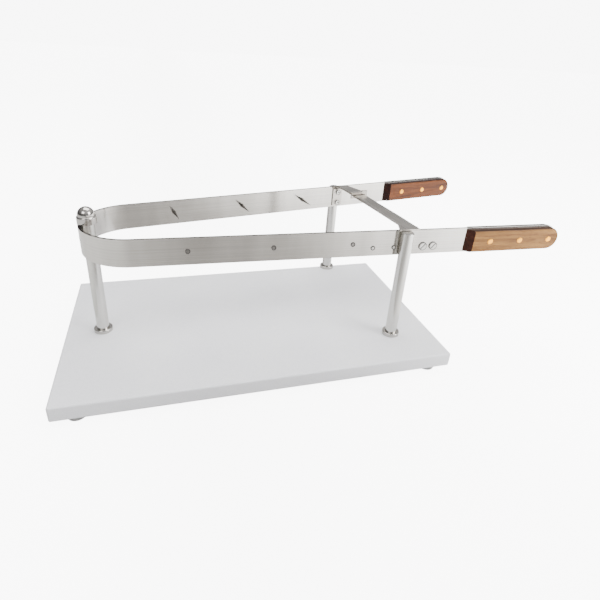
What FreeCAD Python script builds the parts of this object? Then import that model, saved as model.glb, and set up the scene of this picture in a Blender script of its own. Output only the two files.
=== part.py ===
import FreeCAD, Part
import math
import os
import Sketcher

# Ham holder stand: a polyethylene board on rubber feet carries three round steel posts.
# A U-shaped spring band is fixed to the nose post and to the rear post.  Its front arm is
# squeezed towards the rear arm by the two wooden handles, and the locking bar on the front
# arm slides through the tilting dog that hangs on the rear arm's guide plate.
# Lengths are in millimetres and angles in degrees.  +X runs along the board towards the
# handles, +Y from the front edge to the rear edge, +Z up.

V = FreeCAD.Vector
Z_AXIS = V(0, 0, 1)
Y_AXIS = V(0, 1, 0)
X_AXIS = V(1, 0, 0)
UPRIGHT = FreeCAD.Rotation()
TOUCH = 0.01  # tolerance when an edge is picked by where it lies

# alias, value, meaning
DIMENSIONS = [
    ("board_length", 500, "board along X"),
    ("board_width", 288, "board along Y"),
    ("board_thick", 20, "board thickness"),
    ("board_round", 2.5, "radius of the board's edges"),
    ("foot_height", 6, "height of the rubber feet under the board"),
    ("foot_top_radius", 11.5, "foot radius at the board"),
    ("foot_low_radius", 10.5, "foot radius at the floor"),
    ("foot_end_inset", 27, "foot centre from the board's ends"),
    ("foot_side_inset", 14, "foot centre from the board's front and rear edges"),
    ("foot_cup_radius", 5, "recess for the foot screw's head"),
    ("foot_cup_depth", 2.5, "depth of that recess"),
    ("foot_screw_radius", 2, "shank of the foot screws"),
    ("foot_screw_depth", 12, "how far they enter the board"),
    ("foot_head_rise", 1, "foot screw's head above the floor"),
    ("foot_head_radius", 4, "foot screw's head"),
    ("post_radius", 8, "round steel posts"),
    ("post_break", 0.6, "chamfer on the posts' top edges"),
    ("flange_radius", 12, "ring at the foot of each post"),
    ("flange_height", 5, "its height"),
    ("flange_round", 1.2, "its rounded upper edge"),
    ("bolt_radius", 4, "M8 bolts that hold the posts from below"),
    ("bolt_grip", 16, "how far a bolt enters its post"),
    ("bolt_head_radius", 6.5, "bolt head"),
    ("bolt_head_height", 5, "bolt head height"),
    ("hexagon_ratio", 1.1547, "a hexagon's corner radius over half its width across flats"),
    ("washer_radius", 8, "washer under the bolt head"),
    ("washer_thick", 1.6, "washer thickness"),
    ("sink_radius", 9.5, "counterbore in the board's underside"),
    ("sink_depth", 8, "its depth"),
    ("nose_x", -203, "nose post, from the board's middle"),
    ("nose_y", 0.9, "nose post, from the board's middle"),
    ("clamp_turn", 4.14, "clamp's centreline, from the board's length"),
    ("splay", 6.48, "each arm's angle to that centreline"),
    ("bow_radius", 61.5, "inner radius of the band's round nose"),
    ("band_thick", 3, "band thickness"),
    ("band_height", 35, "band height"),
    ("band_lift", 146.5, "band's lower edge above the floor"),
    ("split_turn", 12, "where the front half of the band starts, round the nose"),
    ("split_gap", 0.4, "gap between the two halves"),
    ("fit_gap", 0.2, "gap between band and posts"),
    ("slide_gap", 0.3, "gap under parts that slide over others"),
    ("front_post_reach", 341.6, "front post, along the front arm"),
    ("rear_post_reach", 337, "rear post, along the rear arm"),
    ("rear_post_drop", 3, "rear post's top under the band's upper edge"),
    ("handle_reach", 432.8, "where the handles start, along the arms"),
    ("handle_length", 144.5, "handle length"),
    ("scale_height", 31.5, "height of the scales, a little less than the band"),
    ("scale_thick", 9, "thickness of one wooden scale"),
    ("scale_round", 3, "rounded long edges of the scales"),
    ("scale_bevel", 8.5, "slanted front end of the scales"),
    ("butt_radius", 15.7, "rounded butt of the scales"),
    ("handle_rivet_radius", 4, "brass rivets"),
    ("handle_rivet_first", 34, "first rivet from the handle's start"),
    ("handle_rivet_pitch", 46.8, "distance between the rivets"),
    ("handle_rivet_dome", 0.4, "how far the rivets stand proud"),
    ("handle_rivet_rim", 1.2, "bevelled rim of the rivets"),
    ("spike_first", 64, "first spike, along the arm"),
    ("spike_pitch", 103.5, "distance between the spikes"),
    ("spike_radius", 2.5, "spike shank"),
    ("spike_collar_radius", 2.9, "collar against the band"),
    ("spike_collar_thick", 1.2, "its thickness"),
    ("spike_length", 31, "spike from the band to its point"),
    ("spike_head_radius", 3, "riveted outer end"),
    ("spike_head_thick", 0.6, "its height"),
    ("spike_head_rim", 0.4, "its bevelled rim"),
    ("bar_reach", 351, "locking bar's centreline, along the front arm"),
    ("bar_lean", 8.4, "locking bar's lean towards the nose"),
    ("bar_width", 19.5, "locking bar"),
    ("bar_thick", 2.5, "locking bar"),
    ("bar_length", 149.5, "from the front arm to the bar's far end"),
    ("bar_overhang", 6, "pad in front of the arm's middle plane"),
    ("bar_neck", 16, "where the bar's nose side leaves the pad, from the arm"),
    ("bar_gusset", 45, "where the other side reaches the bar's width, from the arm"),
    ("pad_start", 331.2, "pad's end towards the nose, along the arm"),
    ("pad_end", 360.2, "pad's other end"),
    ("leg_start", 287.5, "leg behind the front arm, along the arm"),
    ("leg_end", 397.5, "its other end"),
    ("leg_low", -13, "its lower edge from the band's mid-height"),
    ("leg_high", 13, "its upper edge from the band's mid-height"),
    ("leg_rivet_first", 299, "rivets in the leg, along the arm"),
    ("leg_rivet_pitch", 29.5, "distance between them"),
    ("leg_rivet_drop", -6.3, "their height from the band's mid-height"),
    ("leg_screw_first", 370.8, "slotted screws, along the arm"),
    ("leg_screw_pitch", 15, "distance between them"),
    ("leg_screw_drop", -6.5, "their height from the band's mid-height"),
    ("leg_rivet_flare", 0.5, "how much wider the rivets' inner heads are"),
    ("leg_rivet_head", 1, "height of those heads"),
    ("screw_radius", 2.5, "M5 screws"),
    ("screw_head_radius", 5.2, "their flat heads"),
    ("screw_head_thick", 1.4, "height of the heads"),
    ("screw_head_rim", 0.4, "their bevelled rim"),
    ("slot_width", 1.5, "screwdriver slot"),
    ("slot_depth", 0.9, "its depth"),
    ("slot_angle", 130, "how the slots happen to stand"),
    ("nut_width", 8, "M5 nuts across flats"),
    ("nut_thick", 4, "their thickness"),
    ("post_screw_high", 8, "upper post screw from the band's mid-height"),
    ("post_screw_low", -9.5, "lower post screw from the band's mid-height"),
    ("post_screw_grip", 10, "how far they enter the post"),
    ("socket_head_radius", 4, "round heads of the post screws"),
    ("socket_head_thick", 2.4, "height of those heads"),
    ("socket_rim", 0.5, "their bevelled rim"),
    ("socket_radius", 1.6, "hexagon socket, to its corners"),
    ("socket_depth", 1.4, "depth of the sockets"),
    ("nose_head_radius", 5, "countersunk head of the nose screw"),
    ("nose_head_depth", 2.5, "depth of that head"),
    ("nose_screw_grip", 9, "how far the nose screw enters the post"),
    ("tab_start", 328, "guide plate's tab, along the rear arm"),
    ("tab_end", 345, "its other end"),
    ("tab_low", -15, "its lower edge from the band's mid-height"),
    ("tab_high", 13, "its upper edge from the band's mid-height"),
    ("guide_flat", 42, "level stretch of the guide plate, from the pin"),
    ("guide_narrow", 16, "its width at the end of that stretch"),
    ("guide_thick", 2, "guide plate"),
    ("pin_reach", 146.5, "dog pin, along the locking bar"),
    ("pin_radius", 1, "dog pin"),
    ("knuckle_radius", 2, "knuckles round the pin"),
    ("knuckle_length", 6, "each of the guide's two knuckles"),
    ("guide_rise", 0.4, "guide plate above the knuckles' lowest line"),
    ("pin_proud", 0.5, "how far the pin stands out of the knuckles"),
    ("dog_width", 27.5, "dog across the bar"),
    ("dog_thick", 2, "dog plate"),
    ("dog_low", -2.4, "dog's lower edge from the bar's underside"),
    ("window_width", 22.8, "slot in the dog for the bar"),
    ("window_height", 4.4, "its height"),
    ("window_shift", 1.2, "slot's middle, towards the nose: the bar swings that way as it slides"),
    ("thumb_height", 2.6, "thumb tab above the dog"),
    ("thumb_width", 9, "thumb tab"),
    ("collar_radius", 11.6, "collar on the nose post"),
    ("collar_height", 9.6, "its height"),
    ("collar_round", 2.2, "its rounded edges"),
    ("ball_radius", 10.1, "ball nut"),
    ("ball_flat", 0.8, "its flat underside, below the ball's centre"),
    ("stud_radius", 3, "stud that joins post, collar and ball nut"),
    ("stud_length", 28, "its length"),
    ("stud_in_post", 13, "how far it enters the post"),
    ("play", 0.05, "radial play round pins, studs and screws"),
    ("overcut", 1, "how far cutting tools run past a face"),
]

doc = FreeCAD.newDocument("ham_holder_stand")
sheet = doc.addObject("Spreadsheet::Sheet", "Dims")
for row, (alias, value, meaning) in enumerate(DIMENSIONS, start=1):
    sheet.set(f"A{row}", alias)
    sheet.set(f"B{row}", str(value))
    sheet.set(f"C{row}", meaning)
    sheet.setAlias(f"B{row}", alias)
doc.recompute()


class Size:
    """Reads a driving dimension from the sheet by its alias."""

    def __getattr__(self, alias):
        return float(sheet.get(alias))


size = Size()
parts = []


# ---------------------------------------------------------------- shared frames

def turned_about_z(x, y, z, angle):
    return FreeCAD.Placement(V(x, y, z), FreeCAD.Rotation(Z_AXIS, angle))


board_bottom = size.foot_height
board_top = board_bottom + size.board_thick
band_middle = size.band_lift + size.band_height / 2
band_top = size.band_lift + size.band_height
half_band = size.band_thick / 2
bow_centre = size.bow_radius - size.post_radius - size.fit_gap
bow_middle = size.bow_radius + half_band
clamp = turned_about_z(size.nose_x, size.nose_y, 0, size.clamp_turn)


def arm_frame(side):
    """Frame of an arm: x along it from the end of the nose's curve, z from mid-height.

    side is -1 for the front arm and +1 for the rear arm.  Its y axis points to +Y, so it
    leads inwards on the front arm and outwards on the rear arm.
    """
    splay = math.radians(size.splay)
    start_x = bow_centre - bow_middle * math.sin(splay)
    start_y = side * bow_middle * math.cos(splay)
    return clamp * turned_about_z(start_x, start_y, band_middle, side * size.splay)


front_arm = arm_frame(-1)
rear_arm = arm_frame(1)
bar_height = size.band_height / 2 + size.fit_gap
bar_frame = front_arm * turned_about_z(size.bar_reach, 0, bar_height, 90 + size.bar_lean)
ALONG_X = FreeCAD.Rotation(Y_AXIS, 90)
TOWARDS_Y = FreeCAD.Rotation(X_AXIS, -90)
AWAY_FROM_Y = FreeCAD.Rotation(X_AXIS, 90)


# ---------------------------------------------------------------- building blocks

def bind(obj, **expressions):
    """Binds properties to the sheet; a bare alias or a formula of aliases is given."""
    for name, formula in expressions.items():
        obj.setExpression(name, with_sheet(formula))
    return obj


def cylinder(name, radius, height, place=None):
    obj = bind(doc.addObject("Part::Cylinder", name), Radius=radius, Height=height)
    obj.Placement = place or FreeCAD.Placement()
    return obj


def box(name, length, width, height, place=None):
    obj = bind(doc.addObject("Part::Box", name), Length=length, Width=width, Height=height)
    obj.Placement = place or FreeCAD.Placement()
    return obj


def hexagon(name, corner_radius, height):
    obj = bind(doc.addObject("Part::Prism", name), Circumradius=corner_radius, Height=height)
    obj.Polygon = 6
    return obj


def cut(name, base, tool):
    obj = doc.addObject("Part::Cut", name)
    obj.Base = base
    obj.Tool = tool
    return obj


def fuse(name, pieces):
    obj = doc.addObject("Part::MultiFuse", name)
    obj.Shapes = pieces
    obj.Refine = True
    return obj


def tools_at(name, places, radius, depth):
    """Cylinders at the given placements, as one cutting tool."""
    rods = [cylinder(f"{name}_{i}", radius, depth, place) for i, place in enumerate(places)]
    return rods[0] if len(rods) == 1 else fuse(name, rods)


def origin_plane(body, role):
    return next(f for f in body.Origin.OriginFeatures if f.Role == role)


def sketch_on(body, role, name):
    sketch = body.newObject("Sketcher::SketchObject", name)
    sketch.AttachmentSupport = [(origin_plane(body, role), "")]
    sketch.MapMode = "FlatFace"
    return sketch


def number(formula):
    """Value of a formula of the sheet's aliases."""
    return float(sheet.evalExpression(str(formula)))


def outline(sketch, corners):
    """Closed polygon whose corners are pinned by two distances each from the origin."""
    points = [V(number(x), number(y), 0) for x, y in corners]
    count = len(points)
    for i in range(count):
        sketch.addGeometry(Part.LineSegment(points[i], points[(i + 1) % count]), False)
    for i in range(count):
        sketch.addConstraint(Sketcher.Constraint("Coincident", i, 2, (i + 1) % count, 1))
    for i, (x, y) in enumerate(corners):
        for kind, formula, value in (("DistanceX", x, points[i].x), ("DistanceY", y, points[i].y)):
            index = sketch.addConstraint(Sketcher.Constraint(kind, -1, 1, i, 1, value))
            sketch.setExpression(f"Constraints[{index}]", with_sheet(formula))


def with_sheet(formula):
    """The same formula as another object of the document has to write it."""
    words = []
    for word in str(formula).replace("(", " ( ").replace(")", " ) ").split():
        words.append(f"Dims.{word}" if word[0].isalpha() else word)
    return " ".join(words)


def padded(name, corners, height, role="XY_Plane"):
    """Body with one polygon padded by a height that is a formula of the sheet."""
    body = doc.addObject("PartDesign::Body", name)
    sketch = sketch_on(body, role, f"{name}_outline")
    outline(sketch, corners)
    pad = body.newObject("PartDesign::Pad", f"{name}_pad")
    pad.Profile = sketch
    pad.setExpression("Length", with_sheet(height))
    return body


def turned(name, corners):
    """Body turned about Z from a half profile of (radius, height) corners."""
    body = doc.addObject("PartDesign::Body", name)
    sketch = sketch_on(body, "XZ_Plane", f"{name}_profile")
    outline(sketch, corners)
    revolution = body.newObject("PartDesign::Revolution", f"{name}_turned")
    revolution.Profile = sketch
    revolution.ReferenceAxis = (sketch, ["V_Axis"])
    revolution.Angle = 360
    return body


def rounded(body, name, radius, edges, feature="PartDesign::Fillet"):
    """Fillet or chamfer on the edges of the body's tip that the test picks."""
    doc.recompute()
    tip = body.Tip
    picked = [f"Edge{i}" for i, edge in enumerate(tip.Shape.Edges, start=1) if edges(edge)]
    dressed = body.newObject(feature, name)
    dressed.Base = (tip, picked)
    dressed.setExpression("Size" if feature.endswith("Chamfer") else "Radius", with_sheet(radius))
    return dressed


def part(label, obj, place=None):
    """Names an object as a sub-part and puts it in its place."""
    obj.Label = label
    if place is not None:
        obj.Placement = place
    parts.append(obj)
    return obj


def group(label, master, places):
    """Sub-part made of equal solids: copies of one master at each placement."""
    doc.recompute()
    copies = [master.Shape.transformed(place.toMatrix(), True) for place in places]
    obj = doc.addObject("Part::Feature", label)
    obj.Shape = Part.makeCompound(copies)
    return part(label, obj)


# ---------------------------------------------------------------- board and feet

def corner_places(height):
    reach_x = size.board_length / 2 - size.foot_end_inset
    reach_y = size.board_width / 2 - size.foot_side_inset
    return [turned_about_z(sx * reach_x, sy * reach_y, height, 0) for sx in (-1, 1) for sy in (-1, 1)]


def post_places(height):
    """Nose post, front post and rear post; the rear two stand outside the arms."""
    beside = half_band + size.fit_gap + size.post_radius
    nose = clamp.multVec(V(0, 0, 0))
    front = front_arm.multVec(V(size.front_post_reach, -beside, 0))
    rear = rear_arm.multVec(V(size.rear_post_reach, beside, 0))
    return [turned_about_z(p.x, p.y, height, 0) for p in (nose, front, rear)]


def base_board():
    blank = box("board_blank", "board_length", "board_width", "board_thick")
    blank.Placement.Base = V(-size.board_length / 2, -size.board_width / 2, board_bottom)
    softened = doc.addObject("Part::Fillet", "board_softened")
    softened.Base = blank
    softened.Edges = [(i, size.board_round, size.board_round) for i in range(1, 13)]
    below = post_places(board_bottom)
    sinks = tools_at("bolt_sink", below, "sink_radius", "sink_depth")
    holes = tools_at("bolt_hole", below, "bolt_radius + play", "board_thick + overcut")
    screws = tools_at("foot_hole", corner_places(board_bottom), "foot_screw_radius + play",
                      "foot_screw_depth + overcut")
    part("base_board", cut("board", softened, fuse("board_cuts", [sinks, holes, screws])))


def rubber_feet():
    foot = turned("foot", [
        ("foot_screw_radius + play", "foot_cup_depth"),
        ("foot_cup_radius", "foot_cup_depth"),
        ("foot_cup_radius", "0"),
        ("foot_low_radius", "0"),
        ("foot_top_radius", "foot_height"),
        ("foot_screw_radius + play", "foot_height")])
    group("rubber_feet", foot, corner_places(0))


def foot_screws():
    screw = turned("foot_screw", [
        ("0", "foot_head_rise"),
        ("foot_head_radius", "foot_head_rise"),
        ("foot_head_radius", "foot_cup_depth"),
        ("foot_screw_radius", "foot_cup_depth"),
        ("foot_screw_radius", "foot_height + foot_screw_depth"),
        ("0", "foot_height + foot_screw_depth")])
    group("foot_screws", screw, corner_places(0))


# ---------------------------------------------------------------- posts

def post(label, top):
    """Round post from the board's top to a formula's height, bored from below for its bolt."""
    body = doc.addObject("PartDesign::Body", label)
    sketch = sketch_on(body, "XY_Plane", f"{label}_circle")
    sketch.addGeometry(Part.Circle(V(0, 0, 0), Z_AXIS, size.post_radius), False)
    sketch.addConstraint(Sketcher.Constraint("Coincident", 0, 3, -1, 1))
    radius = sketch.addConstraint(Sketcher.Constraint("Radius", 0, size.post_radius))
    sketch.setExpression(f"Constraints[{radius}]", "Dims.post_radius")
    pad = body.newObject("PartDesign::Pad", f"{label}_bar")
    pad.Profile = sketch
    bind(pad, Length=f"{top} - foot_height - board_thick")
    doc.recompute()
    height = pad.Length.Value
    rounded(body, f"{label}_break", "post_break", lambda edge: edge.BoundBox.ZMin > height - TOUCH,
            "PartDesign::Chamfer")
    bore = cylinder(f"{label}_bore", "bolt_radius + play", "bolt_grip + overcut")
    return cut(label, body, bore)


def posts():
    nose, front, rear = post_places(board_top)
    nose_top = band_top + size.fit_gap

    nose_bar = post("nose_bar", "band_lift + band_height + fit_gap")
    stud_bore = cylinder("stud_bore", "stud_radius + play", "stud_in_post + overcut")
    stud_bore.Placement.Base = V(0, 0, nose_top - board_top - size.stud_in_post)
    nose_drill = cylinder("nose_drill", "screw_radius + play", "nose_screw_grip + post_radius",
                          FreeCAD.Placement(V(-2 * size.post_radius, 0, band_middle - board_top),
                                            ALONG_X))
    nose_post = cut("nose_post", nose_bar, fuse("nose_drills", [stud_bore, nose_drill]))
    part("nose_post", nose_post, nose * turned_about_z(0, 0, 0, size.clamp_turn))

    part("front_post", post("front_bar", "band_lift + band_height - slide_gap"), front)

    rear_bar = post("rear_bar", "band_lift + band_height - rear_post_drop")
    turn = size.clamp_turn + size.splay
    drills = []
    for i, height in enumerate((size.post_screw_high, size.post_screw_low)):
        start = V(0, -size.post_radius - size.overcut, band_middle + height - board_top)
        drills.append(cylinder(f"rear_drill_{i}", "screw_radius + play", "post_screw_grip + overcut",
                               FreeCAD.Placement(start, TOWARDS_Y)))
    part("rear_post", cut("rear_post", rear_bar, fuse("rear_drills", drills)),
         rear * turned_about_z(0, 0, 0, turn))


def flanges():
    ring = turned("flange", [
        ("post_radius + play", "0"),
        ("flange_radius", "0"),
        ("flange_radius", "flange_height"),
        ("post_radius + play", "flange_height")])
    top = size.flange_height
    rounded(ring, "flange_soft", "flange_round",
            lambda edge: edge.BoundBox.ZMin > top - TOUCH
            and edge.BoundBox.XLength > size.post_radius + size.flange_radius)
    names = ("nose_post_flange", "front_post_flange", "rear_post_flange")
    for name, place in zip(names, post_places(board_top)):
        group(name, ring, [place])


def post_bolts():
    """Bolts with hexagon heads, and their washers, sunk in the board's underside."""
    seat = board_bottom + size.sink_depth
    shank = turned("bolt_shank", [
        ("0", "0 - bolt_head_height / 2"),
        ("bolt_radius", "0 - bolt_head_height / 2"),
        ("bolt_radius", "washer_thick + board_thick - sink_depth + bolt_grip"),
        ("0", "washer_thick + board_thick - sink_depth + bolt_grip")])
    head = hexagon("bolt_head", "bolt_head_radius * hexagon_ratio", "bolt_head_height")
    head.Placement.Base = V(0, 0, -size.bolt_head_height)
    bolt = fuse("post_bolt", [shank, head])
    group("post_bolts", bolt, post_places(seat - size.washer_thick))
    washer = turned("washer", [
        ("bolt_radius + play", "0"),
        ("washer_radius", "0"),
        ("washer_radius", "washer_thick"),
        ("bolt_radius + play", "washer_thick")])
    group("post_washers", washer, post_places(seat - size.washer_thick))


# ---------------------------------------------------------------- spring band

def spike_reaches():
    return [size.spike_first + i * size.spike_pitch for i in range(3)]


def handle_rivet_reaches():
    first = size.handle_reach + size.handle_rivet_first
    return [first + i * size.handle_rivet_pitch for i in range(3)]


def across(reach, height):
    """Placement in an arm's frame of something that goes through the band towards +y."""
    return FreeCAD.Placement(V(reach, 0, height), TOWARDS_Y)


def band_half(label, side, holes, nose_hole=None):
    """Half of the U: its share of the round nose, the straight arm and the rounded tang."""
    arm = front_arm if side < 0 else rear_arm
    if side < 0:
        start = 180 + size.split_turn + math.degrees(size.split_gap / bow_middle)
        share = 270 - size.splay - start
    else:
        start = 90 + size.splay
        share = 180 + size.split_turn - start
    bow_place = clamp * turned_about_z(bow_centre, 0, size.band_lift, start)
    outer = cylinder(f"{label}_bow_outer", "bow_radius + band_thick", "band_height", bow_place)
    outer.Angle = share
    inner = cylinder(f"{label}_bow_inner", "bow_radius", "band_height", bow_place)
    bow = cut(f"{label}_bow", outer, inner)
    low_corner = FreeCAD.Placement(V(0, -half_band, -size.band_height / 2), UPRIGHT)
    flat = box(f"{label}_flat", "handle_reach + handle_length - band_height / 2", "band_thick",
               "band_height", arm * low_corner)
    tang_end = size.handle_reach + size.handle_length - size.band_height / 2
    tang = cylinder(f"{label}_tang", "band_height / 2", "band_thick",
                    arm * FreeCAD.Placement(V(tang_end, -half_band, 0), TOWARDS_Y))
    strip = fuse(f"{label}_strip", [bow, flat, tang])
    return cut(label, strip, fuse(f"{label}_holes", holes))


def arm_holes(name, arm, spots, radius):
    """Round holes through an arm at (reach, height) spots."""
    behind = FreeCAD.Placement(V(0, -size.band_thick, 0), UPRIGHT)
    places = [arm * behind * across(reach, height) for reach, height in spots]
    return tools_at(name, places, radius, "2 * band_thick")


def leg_rivet_spots():
    return [(size.leg_rivet_first + i * size.leg_rivet_pitch, size.leg_rivet_drop) for i in range(2)]


def leg_screw_spots():
    return [(size.leg_screw_first + i * size.leg_screw_pitch, size.leg_screw_drop) for i in range(2)]


def post_screw_spots():
    return [(size.rear_post_reach, height) for height in (size.post_screw_high, size.post_screw_low)]


def bands():
    spikes = [(reach, 0) for reach in spike_reaches()]
    rivets = [(reach, 0) for reach in handle_rivet_reaches()]
    front = [
        arm_holes("front_spike_holes", front_arm, spikes, "spike_radius + play"),
        arm_holes("front_rivet_holes", front_arm, rivets, "handle_rivet_radius + play"),
        arm_holes("leg_rivet_holes", front_arm, leg_rivet_spots(), "spike_radius + play"),
        arm_holes("leg_screw_holes", front_arm, leg_screw_spots(), "screw_radius + play")]
    nose_place = clamp * FreeCAD.Placement(V(-2 * size.post_radius, 0, band_middle),
                                           ALONG_X)
    nose_sink = bind(doc.addObject("Part::Cone", "nose_sink"), Radius1="nose_head_radius + play",
                     Radius2="screw_radius + play", Height="nose_head_depth")
    nose_sink.Placement = clamp * FreeCAD.Placement(
        V(-size.post_radius - size.fit_gap - size.band_thick, 0, band_middle),
        ALONG_X)
    rear = [
        arm_holes("rear_spike_holes", rear_arm, spikes, "spike_radius + play"),
        arm_holes("rear_rivet_holes", rear_arm, rivets, "handle_rivet_radius + play"),
        arm_holes("rear_screw_holes", rear_arm, post_screw_spots(), "screw_radius + play"),
        cylinder("nose_hole", "screw_radius + play", "post_radius + band_thick", nose_place),
        nose_sink]
    part("front_band", band_half("front_half", -1, front))
    part("rear_band", band_half("rear_half", 1, rear))


def spikes():
    """Pointed pins riveted through the arms, with a collar on the inner side."""
    spike = turned("spike", [
        ("0", "0 - band_thick / 2 - spike_head_thick"),
        ("spike_head_radius - spike_head_rim", "0 - band_thick / 2 - spike_head_thick"),
        ("spike_head_radius", "0 - band_thick / 2"),
        ("spike_radius", "0 - band_thick / 2"),
        ("spike_radius", "band_thick / 2"),
        ("spike_collar_radius", "band_thick / 2"),
        ("spike_collar_radius", "band_thick / 2 + spike_collar_thick"),
        ("spike_radius", "band_thick / 2 + spike_collar_thick"),
        ("0", "band_thick / 2 + spike_length")])
    for label, arm, turn in (("front_spikes", front_arm, TOWARDS_Y),
                             ("rear_spikes", rear_arm, AWAY_FROM_Y)):
        places = [arm * FreeCAD.Placement(V(reach, 0, 0), turn) for reach in spike_reaches()]
        group(label, spike, places)


# ---------------------------------------------------------------- handles

def handle_scale():
    """Wooden scale: x along the handle, y away from the band, z from mid-height."""
    body = padded("scale", [
        ("0", "0 - scale_height / 2"),
        ("handle_length", "0 - scale_height / 2"),
        ("handle_length", "scale_height / 2"),
        ("0", "scale_height / 2")], "scale_thick", "XZ_Plane")
    body.Tip.Reversed = True
    length = size.handle_length
    thick = size.scale_thick

    def at_butt(edge):
        return edge.BoundBox.XMin > length - TOUCH and edge.BoundBox.YLength > thick - TOUCH

    def at_front(edge):
        bounds = edge.BoundBox
        upright = bounds.ZLength > size.scale_height - TOUCH
        return bounds.XMax < TOUCH and upright and bounds.YMin > thick - TOUCH

    def on_face(edge):
        return edge.BoundBox.YMin > thick - TOUCH and edge.BoundBox.XMax > size.scale_bevel + 1

    rounded(body, "butt", "butt_radius", at_butt)
    rounded(body, "front_slant", "scale_bevel", at_front, "PartDesign::Chamfer")
    rounded(body, "long_edges", "scale_round", on_face)
    holes = [FreeCAD.Placement(V(reach - size.handle_reach, -size.overcut, 0), TOWARDS_Y)
             for reach in handle_rivet_reaches()]
    return cut("drilled_scale", body,
               tools_at("scale_hole", holes, "handle_rivet_radius + play", "scale_thick + 2 * overcut"))


def handles():
    scale = handle_scale()
    rivet = turned("handle_rivet", [
        ("0", "0 - band_thick / 2 - scale_thick - handle_rivet_dome"),
        ("handle_rivet_radius - handle_rivet_rim", "0 - band_thick / 2 - scale_thick - handle_rivet_dome"),
        ("handle_rivet_radius", "0 - band_thick / 2 - scale_thick"),
        ("handle_rivet_radius", "band_thick / 2 + scale_thick"),
        ("handle_rivet_radius - handle_rivet_rim", "band_thick / 2 + scale_thick + handle_rivet_dome"),
        ("0", "band_thick / 2 + scale_thick + handle_rivet_dome")])
    upright = FreeCAD.Placement(V(size.handle_reach, half_band, 0), UPRIGHT)
    turned_over = FreeCAD.Placement(V(size.handle_reach, -half_band, 0), FreeCAD.Rotation(X_AXIS, 180))
    for name, arm, inward, outward in (("front", front_arm, upright, turned_over),
                                       ("rear", rear_arm, turned_over, upright)):
        group(f"{name}_handle_inner_scale", scale, [arm * inward])
        group(f"{name}_handle_outer_scale", scale, [arm * outward])
        group(f"{name}_handle_rivets", rivet,
              [arm * across(reach, 0) for reach in handle_rivet_reaches()])


# ---------------------------------------------------------------- locking bar

def locking_bar():
    """Flat bar over the front arm, its pad over the front post, its leg inside the arm."""
    lean = math.radians(size.bar_lean)
    half = size.bar_width / 2 / math.cos(lean)
    arm_to_bar = front_arm * FreeCAD.Placement(V(0, 0, bar_height), UPRIGHT)

    def centre(y):
        return size.bar_reach - y * math.tan(lean)

    end = size.bar_length * math.cos(lean)
    skew = size.bar_width / 2 * math.sin(lean)
    corners = [
        (size.pad_start, -size.bar_overhang),
        (size.pad_end, -size.bar_overhang),
        (centre(size.bar_gusset) + half, size.bar_gusset),
        (centre(end) + half - skew * math.tan(lean), end + skew),
        (centre(end) - half + skew * math.tan(lean), end - skew),
        (centre(size.bar_neck) - half, size.bar_neck)]
    plate = padded("bar_plate", corners, "bar_thick")
    plate.Placement = arm_to_bar
    leg = box("bar_leg", "leg_end - leg_start", "bar_thick", "leg_high - leg_low",
              front_arm * FreeCAD.Placement(V(size.leg_start, half_band, size.leg_low), UPRIGHT))
    riser_corner = V(size.bar_reach - size.bar_width / 2, half_band, size.leg_low)
    riser = box("bar_riser", "pad_end - bar_reach + bar_width / 2", "bar_thick",
                "band_height / 2 + fit_gap + bar_thick - leg_low",
                front_arm * FreeCAD.Placement(riser_corner, UPRIGHT))
    blank = fuse("bar_blank", [plate, leg, riser])
    inside = front_arm * FreeCAD.Placement(V(0, size.band_thick, 0), UPRIGHT)
    holes = [
        arm_holes("bar_rivet_holes", inside, leg_rivet_spots(), "spike_radius + play"),
        arm_holes("bar_screw_holes", inside, leg_screw_spots(), "screw_radius + play")]
    part("locking_bar", cut("bar", blank, fuse("bar_holes", holes)))


def leg_rivets():
    """Rivets that hold the bar's leg to the front arm."""
    rivet = turned("leg_rivet", [
        ("0", "0 - band_thick / 2 - spike_head_thick"),
        ("spike_head_radius - spike_head_rim", "0 - band_thick / 2 - spike_head_thick"),
        ("spike_head_radius", "0 - band_thick / 2"),
        ("spike_radius", "0 - band_thick / 2"),
        ("spike_radius", "band_thick / 2 + bar_thick"),
        ("spike_head_radius + leg_rivet_flare", "band_thick / 2 + bar_thick"),
        ("spike_head_radius", "band_thick / 2 + bar_thick + leg_rivet_head"),
        ("0", "band_thick / 2 + bar_thick + leg_rivet_head")])
    group("leg_rivets", rivet, [front_arm * across(*spot) for spot in leg_rivet_spots()])


def leg_screws():
    """Flat slotted screws through the front arm and the bar's leg, with their nuts."""
    screw = turned("leg_screw", [
        ("0", "0 - band_thick / 2 - screw_head_thick"),
        ("screw_head_radius - screw_head_rim", "0 - band_thick / 2 - screw_head_thick"),
        ("screw_head_radius", "screw_head_rim - band_thick / 2 - screw_head_thick"),
        ("screw_head_radius", "0 - band_thick / 2"),
        ("screw_radius", "0 - band_thick / 2"),
        ("screw_radius", "band_thick / 2 + bar_thick + nut_thick + overcut"),
        ("0", "band_thick / 2 + bar_thick + nut_thick + overcut")])
    slot = box("leg_screw_slot", "2 * screw_head_radius + 2 * overcut", "slot_width",
               "slot_depth + overcut")
    slot.Placement.Base = V(-size.screw_head_radius - size.overcut, -size.slot_width / 2,
                            -half_band - size.screw_head_thick - size.overcut)
    slotted = cut("slotted_leg_screw", screw, slot)
    slot_turn = turned_about_z(0, 0, 0, size.slot_angle)
    group("leg_screws", slotted, [front_arm * across(*spot) * slot_turn for spot in leg_screw_spots()])

    nut_body = hexagon("nut_body", "nut_width / 2 * hexagon_ratio", "nut_thick")
    nut = cut("leg_nut", nut_body, cylinder("nut_bore", "screw_radius + play", "nut_thick"))
    seat = FreeCAD.Placement(V(0, 0, half_band + size.bar_thick), UPRIGHT)
    group("leg_nuts", nut, [front_arm * across(*spot) * seat for spot in leg_screw_spots()])


# ---------------------------------------------------------------- guide plate and dog

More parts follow.
